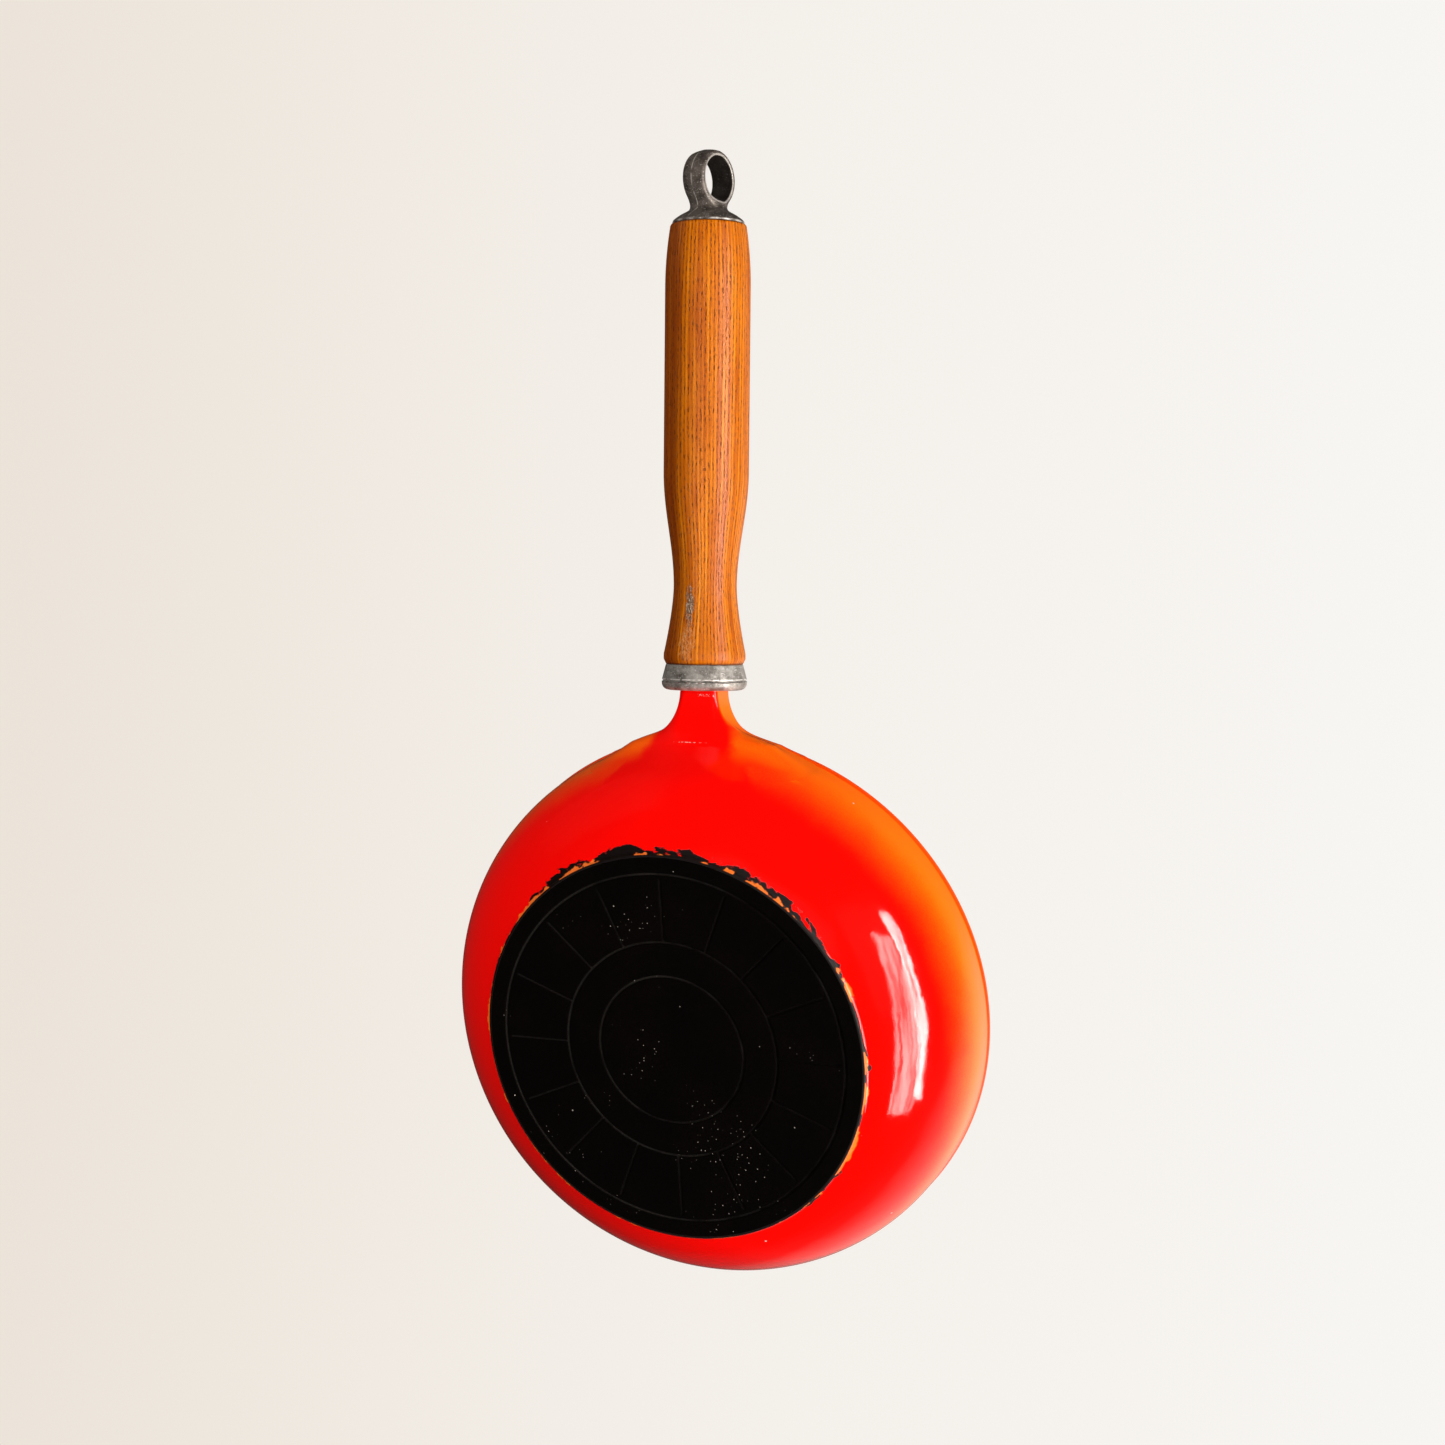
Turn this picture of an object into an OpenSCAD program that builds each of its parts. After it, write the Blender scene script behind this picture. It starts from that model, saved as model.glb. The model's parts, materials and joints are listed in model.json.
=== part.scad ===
// Enamelled cast-iron pan with a turned wooden handle and a screwed hanging eye.
// The base lies on Z = 0 with its centre at the origin, and the handle points along +X.

/* [Bowl] */
// Outer diameter over the rim bead
rim_d = 220; // [205:1:240]
// Diameter of the flat base
base_d = 156; // [145:0.5:165]
// Height from the base to the top of the rim
bowl_h = 59.5; // [56:0.5:66]
// Height of the upright band below the rim
band_h = 9.5; // [7:0.5:12]
// Thickness of the wall
wall_t = 4; // [3.5:0.1:4.5]
// Thickness of the floor
floor_t = 5; // [4.5:0.1:6]
// Thickness of the rounded bead round the rim
bead_d = 5; // [4.8:0.1:5.5]
// Height of the straight foot that the base stands on
foot_h = 1.2; // [0.8:0.1:1.6]

/* [Base engraving] */
// Width of the engraved lines
groove_w = 1.0; // [0.6:0.1:1.6]
// Depth of the engraved lines
groove_depth = 0.4; // [0.2:0.1:0.8]
// Number of engraved spokes
spoke_count = 16; // [8:2:24]

/* [Handle line] */
// Angle at which the handle rises from the pan
handle_tilt = 10.8; // [6:0.2:16]
// Height of the handle's axis where it crosses the rim's edge
axis_h = 51.7; // [50.5:0.1:52.5]
// Distance from the rim's edge to the collar
neck_len = 19.1; // [17:0.1:24]

/* [Neck] */
// Width of the neck at the collar
neck_w = 15.6; // [15:0.1:18]
// Depth of the neck from its top to its underside
neck_depth = 14.6; // [14:0.1:15.5]
// Radius of the flares that run from the neck into the rim
flare_r = 21.5; // [18:0.5:23]

/* [Collar] */
// Length of the collar
collar_len = 10; // [9.5:0.1:14]
// Diameter of the collar at the wood
collar_d = 30.2; // [28:0.1:31]
// Greatest diameter of the collar, above its groove
collar_max_d = 33.3; // [32:0.1:34]

/* [Grip] */
// Length of the wooden grip
grip_len = 169.8; // [150:0.1:180]
// Diameter of the lip at the collar end
lip_d = 32; // [30:0.1:33]
// Diameter of the waist
waist_d = 24.6; // [24:0.1:27]
// Diameter of the barrel
barrel_d = 33.2; // [31:0.1:36]
// Diameter at the eye end
tail_d = 29.4; // [28.5:0.1:30.5]

/* [Tie rod] */
// Diameter of the rod and of its thread
rod_d = 8; // [7:0.1:8]
// Pitch of the rod's thread
thread_pitch = 1.25; // [1:0.05:1.25]

/* [Hanging eye] */
// Diameter of the flange that bears on the wood
flange_d = 28.2; // [27.5:0.1:28.4]
// Outer diameter of the ring
ring_d = 22.8; // [21.5:0.1:24]
// Diameter of the hole in the ring
hole_d = 17.3; // [14:0.1:17.5]
// Width of the ring's band
band_w = 10; // [8:0.1:11.4]
// Angle between the hole's axis and the pan's width
eye_turn = 14; // [-90:0.5:90]

/* [Hidden] */
$fn = 96;

// Bowl: the wall is one arc that leaves the foot's edge and turns upright below the rim
rim_r = rim_d / 2;
base_r = base_d / 2;
bead_r = bead_d / 2;
bead_stand = 0.6;
wall_r = rim_r - bead_stand;
arc_top = bowl_h - band_h;
arc_run = wall_r - base_r;
arc_rise = arc_top - foot_h;
arc_r = (arc_run * arc_run + arc_rise * arc_rise) / (2 * arc_run);
arc_x = wall_r - arc_r;
foot_edge_r = 0.9;

// Engraving, as shares of the base's radius
ring_shares = [0.38, 0.555, 0.9];
spoke_from = 0.56;
spoke_to = 0.87;

// Neck: a square tenon enters the collar, and a blind hole takes the rod
tenon_side = 12;
tenon_len = 7;
tenon_root = 2;
rod_hole_depth = 18;
flare_reach = 23;
neck_root = 10;

// Distances along the handle's axis, from the rim's edge
collar_at = neck_len;
grip_at = collar_at + collar_len;
eye_at = grip_at + grip_len;

// How far a cut runs past a surface, and how far two joined shapes overlap
over = 1;
lap = 0.01;

// Fits
seat_gap = 0.1;
thread_gap = 0.05;
rod_room = 0.5;

// Collar
collar_groove_at = 3.4;
collar_groove_w = 0.6;
collar_groove_depth = 0.5;
collar_round = 2.8;
socket_side = tenon_side + 2 * seat_gap;
socket_len = tenon_len + 2 * seat_gap;

// Collar nut
nut_flats = 13;
nut_h = 5;
nut_recess_d = 16.6;
nut_recess_len = nut_h + 1;

// Grip: stations along the wood, from the collar end
lip_at = 4;
waist_at = 30;
barrel_at = 75;
tail_at = grip_len - 24;
end_chamfer = 1;
tail_round = 0.6;
curve_steps = 12;

// Washers
washer_hole_d = 12.8;
grip_washer_d = 22;
grip_washer_t = 1.5;
spring_washer_d = 20.8;
spring_washer_t = 2;
spring_slot = 1.6;

// Hanging eye
boss_d = 12;
boss_len = 10;
boss_bore_len = 13.5;
boss_room = 0.6;
flange_edge = 1;
dome_h = 5.5;
waist_eye_d = 12.4;
flange_recess_d = spring_washer_d + 0.8;
flange_recess_h = spring_washer_t + 2 * seat_gap;
ring_at = 17.3;

// Tie rod
rod_from = collar_at - rod_hole_depth + tenon_len + 1;
rod_to = eye_at + seat_gap;

// A share that eases from 0 to 1 with level ends
function ease(t) = (1 - cos(180 * t)) / 2;

// A share that falls steeply from 1 and runs out level at 0
function run_out(t) = pow(1 - t, 1.5);

// Diameter of the grip at a distance u from its collar end
function grip_d(u) =
    u < waist_at ? waist_d + (lip_d - waist_d) * run_out((u - lip_at) / (waist_at - lip_at)) :
    u < barrel_at ? waist_d + (barrel_d - waist_d) * ease((u - waist_at) / (barrel_at - waist_at)) :
    u < tail_at ? barrel_d :
    barrel_d + (tail_d - barrel_d) * pow((u - tail_at) / (grip_len - tail_at), 2);

// Points of the grip's outline between two stations
function grip_run(from, to) =
    [for (i = [0 : curve_steps]) let (u = from + (to - from) * i / curve_steps) [grip_d(u) / 2, u]];

// Places its children on the handle's axis, with their +Z along it and their +X downward
module on_handle(at) {
    translate([rim_r, 0, axis_h]) rotate([0, 90 - handle_tilt, 0]) translate([0, 0, at]) children();
}

// Half outline of the bowl's solid outer shape
module bowl_outline() {
    square([base_r - foot_edge_r, foot_h]);
    translate([0, foot_edge_r]) square([base_r, foot_h - foot_edge_r + lap]);
    translate([base_r - foot_edge_r, foot_edge_r]) circle(foot_edge_r);
    intersection() {
        translate([arc_x, arc_top]) circle(arc_r);
        translate([arc_x, foot_h]) square([arc_r, arc_rise]);
    }
    translate([0, foot_h]) square([arc_x, bowl_h - bead_r - foot_h]);
    translate([0, arc_top]) square([wall_r, band_h - bead_r]);
    translate([rim_r - bead_r, bowl_h - bead_r]) circle(bead_r);
}

// Half outline of the bowl's inner space
module bowl_space() {
    inner_r = arc_r - wall_t;
    intersection() {
        translate([arc_x, arc_top]) circle(inner_r);
        translate([arc_x, floor_t]) square([inner_r, arc_top - floor_t]);
    }
    translate([0, floor_t]) square([arc_x, bowl_h]);
    translate([0, arc_top]) square([arc_x + inner_r, band_h - bead_r]);
    translate([0, bowl_h - bead_r]) square([rim_r - bead_d, bowl_h]);
}

// Engraved rings and spokes, cut from the base
module engraving() {
    rotate_extrude() for (share = ring_shares)
        translate([share * base_r - groove_w / 2, -over]) square([groove_w, groove_depth + over]);
    for (i = [0 : spoke_count - 1]) rotate([0, 0, 360 / spoke_count * i])
        translate([spoke_from * base_r, -groove_w / 2, -over])
            cube([(spoke_to - spoke_from) * base_r, groove_w, groove_depth + over]);
}

// Plan of the neck, with a flare on each side
module neck_plan() {
    difference() {
        translate([-neck_root, -flare_reach]) square([neck_root + neck_len, 2 * flare_reach]);
        for (side = [-1, 1]) translate([neck_len, side * (neck_w / 2 + flare_r)]) circle(flare_r);
    }
}

module neck() {
    on_handle(0) translate([neck_depth / 2, 0, 0]) rotate([0, -90, 0])
        linear_extrude(neck_depth) neck_plan();
    on_handle(neck_len + (tenon_len - tenon_root) / 2)
        cube([tenon_side, tenon_side, tenon_len + tenon_root], center = true);
}

module pan_body() {
    color([0.93, 0.14, 0.03]) difference() {
        union() {
            rotate_extrude($fn = 180) bowl_outline();
            neck();
        }
        rotate_extrude($fn = 180) bowl_space();
        engraving();
        on_handle(collar_at + tenon_len - rod_hole_depth)
            cylinder(d = rod_d + 2 * thread_gap, h = rod_hole_depth + over);
    }
}

// Half outline of the collar, from the neck to the wood
module collar_outline() {
    groove_r = collar_max_d / 2 - collar_groove_depth;
    square([collar_max_d / 2 - collar_round, collar_groove_at]);
    translate([0, collar_round]) square([collar_max_d / 2, collar_groove_at - collar_round]);
    translate([collar_max_d / 2 - collar_round, collar_round]) circle(collar_round);
    translate([0, collar_groove_at]) square([groove_r, collar_groove_w]);
    polygon([[0, collar_groove_at + collar_groove_w],
             [collar_max_d / 2, collar_groove_at + collar_groove_w],
             [collar_d / 2, collar_len],
             [0, collar_len]]);
}

module collar() {
    color([0.62, 0.60, 0.57]) on_handle(collar_at) difference() {
        rotate_extrude() collar_outline();
        translate([0, 0, (socket_len - over) / 2])
            cube([socket_side, socket_side, socket_len + over], center = true);
        cylinder(d = rod_d + rod_room, h = collar_len + over);
    }
}

module collar_nut() {
    color([0.72, 0.72, 0.74]) on_handle(grip_at) difference() {
        cylinder(d = nut_flats / cos(30), h = nut_h, $fn = 6);
        translate([0, 0, -over]) cylinder(d = rod_d + 2 * thread_gap, h = nut_h + 2 * over);
    }
}

module wood_grip() {
    lip_r = lip_d / 2;
    color([0.76, 0.42, 0.13]) on_handle(grip_at) difference() {
        rotate_extrude() polygon(concat(
            [[0, 0], [lip_r - end_chamfer, 0], [lip_r, 2 * end_chamfer]],
            grip_run(lip_at, waist_at),
            grip_run(waist_at, barrel_at),
            grip_run(tail_at, grip_len - tail_round),
            [[tail_d / 2 - tail_round, grip_len], [0, grip_len]]));
        translate([0, 0, -over]) cylinder(d = rod_d + 2 * rod_room, h = grip_len + 2 * over);
        translate([0, 0, -over]) cylinder(d = nut_recess_d, h = nut_recess_len + over);
        translate([0, 0, grip_len - boss_len - boss_room])
            cylinder(d = boss_d + boss_room, h = boss_len + boss_room + over);
        translate([0, 0, grip_len - grip_washer_t])
            cylinder(d = grip_washer_d + 2 * seat_gap, h = grip_washer_t + over);
    }
}

module tie_rod() {
    color([0.70, 0.71, 0.73]) on_handle(rod_from) cylinder(d = rod_d, h = rod_to - rod_from);
}

module grip_washer() {
    color([0.66, 0.67, 0.69]) on_handle(eye_at - grip_washer_t) difference() {
        cylinder(d = grip_washer_d, h = grip_washer_t);
        translate([0, 0, -over]) cylinder(d = washer_hole_d, h = grip_washer_t + 2 * over);
    }
}

module spring_washer() {
    color([0.45, 0.45, 0.47]) on_handle(eye_at + seat_gap) difference() {
        cylinder(d = spring_washer_d, h = spring_washer_t);
        translate([0, 0, -over]) cylinder(d = washer_hole_d, h = spring_washer_t + 2 * over);
        translate([0, -spring_slot / 2, -over])
            cube([spring_washer_d, spring_slot, spring_washer_t + 2 * over]);
    }
}

// Half outline of the eye's domed flange and its waist
module flange_outline() {
    edge_r = flange_d / 2;
    waist_r = waist_eye_d / 2;
    fall = (edge_r * edge_r - waist_r * waist_r + flange_edge * flange_edge - dome_h * dome_h)
           / (2 * (dome_h - flange_edge));
    dome_r = sqrt(edge_r * edge_r + (flange_edge + fall) * (flange_edge + fall));
    square([edge_r, flange_edge]);
    intersection() {
        translate([0, -fall]) circle(dome_r);
        square([edge_r, dome_h]);
    }
    square([waist_r, ring_at - hole_d / 2]);
}

// Outside of the ring: a ball with a flat on each side of the hole
module eye_ball() {
    intersection() {
        sphere(d = ring_d);
        cube([2 * ring_d, band_w, 2 * ring_d], center = true);
    }
}

module hanging_eye() {
    color([0.34, 0.31, 0.29]) on_handle(eye_at + seat_gap) rotate([0, 0, -eye_turn]) difference() {
        union() {
            rotate_extrude() flange_outline();
            translate([0, 0, -boss_len]) cylinder(d = boss_d, h = boss_len + flange_edge);
            translate([0, 0, ring_at]) eye_ball();
        }
        translate([0, 0, ring_at]) rotate([90, 0, 0])
            cylinder(d = hole_d, h = ring_d, center = true);
        translate([0, 0, -boss_len - over])
            cylinder(d = rod_d + 2 * thread_gap, h = boss_bore_len + over);
        translate([0, 0, -over]) difference() {
            cylinder(d = flange_recess_d, h = flange_recess_h + over);
            translate([0, 0, -over]) cylinder(d = boss_d, h = flange_recess_h + 3 * over);
        }
    }
}

pan_body();
collar();
collar_nut();
wood_grip();
tie_rod();
grip_washer();
spring_washer();
hanging_eye();
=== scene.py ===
"""An enamelled cast-iron pan with a wooden grip and a screwed hanging eye, built round its CAD frame."""

import json
import math

import bpy
import numpy as np
from mathutils import Matrix, Vector


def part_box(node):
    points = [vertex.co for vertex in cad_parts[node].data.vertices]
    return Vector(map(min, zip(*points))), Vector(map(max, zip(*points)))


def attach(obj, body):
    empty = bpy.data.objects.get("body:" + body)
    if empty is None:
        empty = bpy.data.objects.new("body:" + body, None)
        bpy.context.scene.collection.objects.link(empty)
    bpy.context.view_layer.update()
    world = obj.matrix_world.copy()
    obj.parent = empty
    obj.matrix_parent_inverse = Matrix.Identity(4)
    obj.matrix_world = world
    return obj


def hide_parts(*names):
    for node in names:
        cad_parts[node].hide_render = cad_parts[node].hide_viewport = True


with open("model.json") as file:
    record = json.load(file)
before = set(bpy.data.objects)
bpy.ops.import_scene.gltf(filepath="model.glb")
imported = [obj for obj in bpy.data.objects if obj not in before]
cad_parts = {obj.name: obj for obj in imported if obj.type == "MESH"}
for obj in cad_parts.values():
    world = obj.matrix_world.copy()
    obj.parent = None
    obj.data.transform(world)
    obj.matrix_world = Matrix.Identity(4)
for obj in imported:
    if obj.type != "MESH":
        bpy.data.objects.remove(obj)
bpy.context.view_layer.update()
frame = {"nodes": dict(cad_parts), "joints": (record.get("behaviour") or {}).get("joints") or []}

# -------------------- sizes, in millimetres and radians
MM = 0.001
RIM_R = -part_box("pan_body")[0].x / MM
BASE_R = 78.0
BOWL_H = 59.5
BAND_H = 9.5
WALL_T = 4.0
FLOOR_T = 5.0
BEAD_R = 2.5
BEAD_STAND = 0.6
FOOT_H = 1.2
FOOT_EDGE_R = 0.9
WALL_R = RIM_R - BEAD_STAND
BEAD_C = (RIM_R - BEAD_R, BOWL_H - BEAD_R)
ARC_TOP = BOWL_H - BAND_H
ARC_RUN = WALL_R - BASE_R
ARC_RISE = ARC_TOP - FOOT_H
ARC_R = (ARC_RUN ** 2 + ARC_RISE ** 2) / (2 * ARC_RUN)
ARC_X = WALL_R - ARC_R

GROOVE_W = 1.0
GROOVE_DEPTH = 0.4
RING_SHARES = (0.38, 0.555, 0.9)
SPOKE_SHARES = (0.56, 0.87)
SPOKES = 16

NECK_LEN = 19.1
NECK_W = 15.6
NECK_DEPTH = 14.6
NECK_ROUND = 2.4
FLARE_R = 21.5
TENON_SIDE = 12.0
TENON_LEN = 7.0
ROD_HOLE_R = 4.05
ROD_HOLE_LEN = 18.0

COLLAR_LEN = 10.0
COLLAR_D = 30.2
COLLAR_MAX_D = 33.3
GRIP_LEN = 169.8
LIP_D = 32.0
WAIST_D = 24.6
BARREL_D = 33.2
TAIL_D = 29.4
GRAIN_R = 15.0
ROD_R = 4.0
THREAD_PITCH = 1.25

FLANGE_D = 28.2
DOME_H = 5.5
EYE_WAIST_D = 12.4
RING_AT = 17.3
RING_D = 22.8
HOLE_D = 17.3
BAND_W = 10.0
EYE_TURN = math.radians(14)
SEAM_H = 0.09
ROOT_TURN = 25.0  # degrees to each side of the handle
ROOT_LEN = 38.0
ROOT_EDGE = 0.8
ROOT_SHARE = 0.30
ROOT_OVAL = 0.62
BEAD_FROM = math.radians(100)
SINK = 0.6
NECK_BURIED = 1.2
SKIN_LIFT = 0.16
FLARE_STAND = 0.9
FLARE_THIN = 0.40
FLARE_FADE = 14.0
FILLET_ABOVE = 1.6
FILLET_MORE = 15.0
SEAT_GAP = 0.1

COLLAR_AT = NECK_LEN
GRIP_AT = COLLAR_AT + COLLAR_LEN
EYE_AT = GRIP_AT + GRIP_LEN

# The handle's line comes from the eye's hinge: +Z along it, +X down and +Y across the pan
hinge = frame["joints"][0]
ALONG = Vector(hinge["axis"]).normalized()
ACROSS = Vector((0, 1, 0))
DOWN = ACROSS.cross(ALONG)
RIM_POINT = Vector(hinge["pos_m"]) / MM - ALONG * EYE_AT


class Seat:
    """A place on the handle's line: its origin, and the axes of a piece drawn there along +Z."""

    def __init__(self, at, turn=0.0):
        self.origin = RIM_POINT + ALONG * at
        turned = Matrix((DOWN, ACROSS, ALONG)).transposed() @ Matrix.Rotation(turn, 3, "Z")
        self.axes = turned.transposed()

    def place(self, points):
        return np.asarray(points) @ np.array(self.axes) + np.array(self.origin)


COLLAR_SEAT = Seat(COLLAR_AT)
GRIP_SEAT = Seat(GRIP_AT)
EYE_SEAT = Seat(EYE_AT + SEAT_GAP, -EYE_TURN)


# -------------------- meshes
def linked(name, data):
    made = bpy.data.objects.new(name, data)
    bpy.context.collection.objects.link(made)
    return made


def add_object(name, points, faces, materials, seat=None, slots=None):
    """A smooth-shaded object from points in millimetres, which are in the CAD frame or drawn at a seat."""
    mesh = bpy.data.meshes.new(name)
    points = seat.place(points) if seat else np.asarray(points)
    mesh.from_pydata((points * MM).tolist(), [], faces)
    for material in materials:
        mesh.materials.append(material)
    if slots is not None:
        mesh.polygons.foreach_set("material_index", np.asarray(slots, np.int32))
    mesh.polygons.foreach_set("use_smooth", np.ones(len(mesh.polygons), bool))
    mesh.update()
    return linked(name, mesh)


def strip_faces(ring_count, size, loop):
    """Quads between rings that follow each other, each with the same number of points."""
    faces = []
    for ring in range(ring_count if loop else ring_count - 1):
        a, b = ring * size, (ring + 1) % ring_count * size
        faces += [(a + i, a + (i + 1) % size, b + (i + 1) % size, b + i) for i in range(size)]
    return faces


def stack(rings, loop=False):
    """Points and faces of a surface through rings. Unless they make a loop, a fan closes each end."""
    size = len(rings[0])
    points = np.concatenate(rings)
    faces = strip_faces(len(rings), size, loop)
    if not loop:
        first, last = len(points), len(points) + 1
        end = (len(rings) - 1) * size
        points = np.concatenate([points, [rings[0].mean(0)], [rings[-1].mean(0)]])
        faces += [((i + 1) % size, i, first) for i in range(size)]
        faces += [(end + i, end + (i + 1) % size, last) for i in range(size)]
    return points, faces


def circle_points(radius, height, angles):
    return np.stack([radius * np.cos(angles), radius * np.sin(angles), np.full(len(angles), height)], 1)


def lathe_rings(outline, angles):
    return [circle_points(r, z, angles) for r, z in outline]


def arc(centre, radius, start, end, steps):
    """Points on an arc, with angles in degrees from the +r direction."""
    turn = np.radians(np.linspace(start, end, steps + 1))
    return [(centre[0] + radius * math.cos(t), centre[1] + radius * math.sin(t)) for t in turn]


def rounded(corners, steps=5, support=0.25):
    """A closed outline through corners (r, z, rounding), with points beside each rounding."""
    points = []
    for i, (r, z, size) in enumerate(corners):
        here = np.array((r, z))
        before = np.array(corners[i - 1][:2]) - here
        after = np.array(corners[(i + 1) % len(corners)][:2]) - here
        u, v = before / np.linalg.norm(before), after / np.linalg.norm(after)
        half = math.acos(np.clip(u @ v, -1, 1)) / 2
        reach = size / math.tan(half)
        mid = (u + v) / np.linalg.norm(u + v)
        centre = here + mid * size / math.sin(half)
        a, b = here + u * reach - centre, here + v * reach - centre
        start, end = math.atan2(a[1], a[0]), math.atan2(b[1], b[0])
        sweep = (end - start + math.pi) % (2 * math.pi) - math.pi
        points.append(tuple(here + u * reach * (1 + support)))
        for k in range(steps + 1):
            t = start + sweep * k / steps
            points.append((centre[0] + size * math.cos(t), centre[1] + size * math.sin(t)))
        points.append(tuple(here + v * reach * (1 + support)))
    return points


# -------------------- distance fields, for shapes that blend
def ease(t):
    """A share from 0 to 1 with a soft start and end."""
    return t * t * (3 - 2 * t)


def blend_min(a, b, k):
    """The smaller of two distances, with a fillet about k wide where they meet."""
    h = np.maximum(k - np.abs(a - b), 0) / k
    return np.minimum(a, b) - h * h * k / 4


def blend_max(a, b, k):
    return -blend_min(-a, -b, k)


def slope(distance, points, step=0.02):
    """The gradient of a distance field."""
    shifts = np.eye(3) * step
    return np.stack([(distance(points + s) - distance(points - s)) / (2 * step) for s in shifts], -1)


def settle(distance, points, rounds=8):
    """Moves points onto the surface where the distance is 0."""
    for _ in range(rounds):
        value, normal = distance(points), slope(distance, points)
        move = value[..., None] * normal / np.maximum((normal ** 2).sum(-1, keepdims=True), 1e-3)
        length = np.linalg.norm(move, axis=-1, keepdims=True)
        points = points - move * np.minimum(1, 0.8 / np.maximum(length, 1e-9))
    return points


def relax(distance, points, faces, rounds):
    """Evens out a quad mesh: each point moves to its neighbours' mean, and back onto the surface."""
    edges = np.unique(np.sort(np.concatenate([np.stack([faces[:, i], faces[:, (i + 1) % 4]], 1)
                                              for i in range(4)]), 1), axis=0)
    for _ in range(rounds):
        total, count = np.zeros_like(points), np.zeros(len(points))
        for a, b in ((0, 1), (1, 0)):
            np.add.at(total, edges[:, a], points[edges[:, b]])
            np.add.at(count, edges[:, a], 1)
        points = settle(distance, (points + total / count[:, None]) / 2, 2)
    return points


def surface_net(distance, low, high, step):
    """The surface where a distance is 0, as quads with one point in each grid cell that it crosses."""
    axes = [np.arange(a, b + step, step) for a, b in zip(low, high)]
    grid = np.stack(np.meshgrid(*axes, indexing="ij"), -1)
    inside = distance(grid) < 0
    size = [n - 1 for n in inside.shape]
    held = sum(inside[i:size[0] + i, j:size[1] + j, k:size[2] + k].astype(int)
               for i in (0, 1) for j in (0, 1) for k in (0, 1))
    crossed = (held > 0) & (held < 8)
    number = np.full(crossed.shape, -1)
    number[crossed] = np.arange(crossed.sum())
    points = grid[:-1, :-1, :-1][crossed] + step / 2
    faces = []
    for axis in range(3):
        b, c = (axis + 1) % 3, (axis + 2) % 3
        here = np.moveaxis(inside, (axis, b, c), (0, 1, 2))
        cells = np.moveaxis(number, (axis, b, c), (0, 1, 2))
        first, second = here[:-1, 1:-1, 1:-1], here[1:, 1:-1, 1:-1]
        for found, order in ((first & ~second, (0, 1, 2, 3)), (~first & second, (3, 2, 1, 0))):
            i, j, k = np.nonzero(found)
            around = [cells[i, j, k], cells[i, j + 1, k], cells[i, j + 1, k + 1], cells[i, j, k + 1]]
            faces.append(np.stack([around[n] for n in order], 1))
    faces = np.concatenate(faces)
    return settle(distance, points), faces


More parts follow.
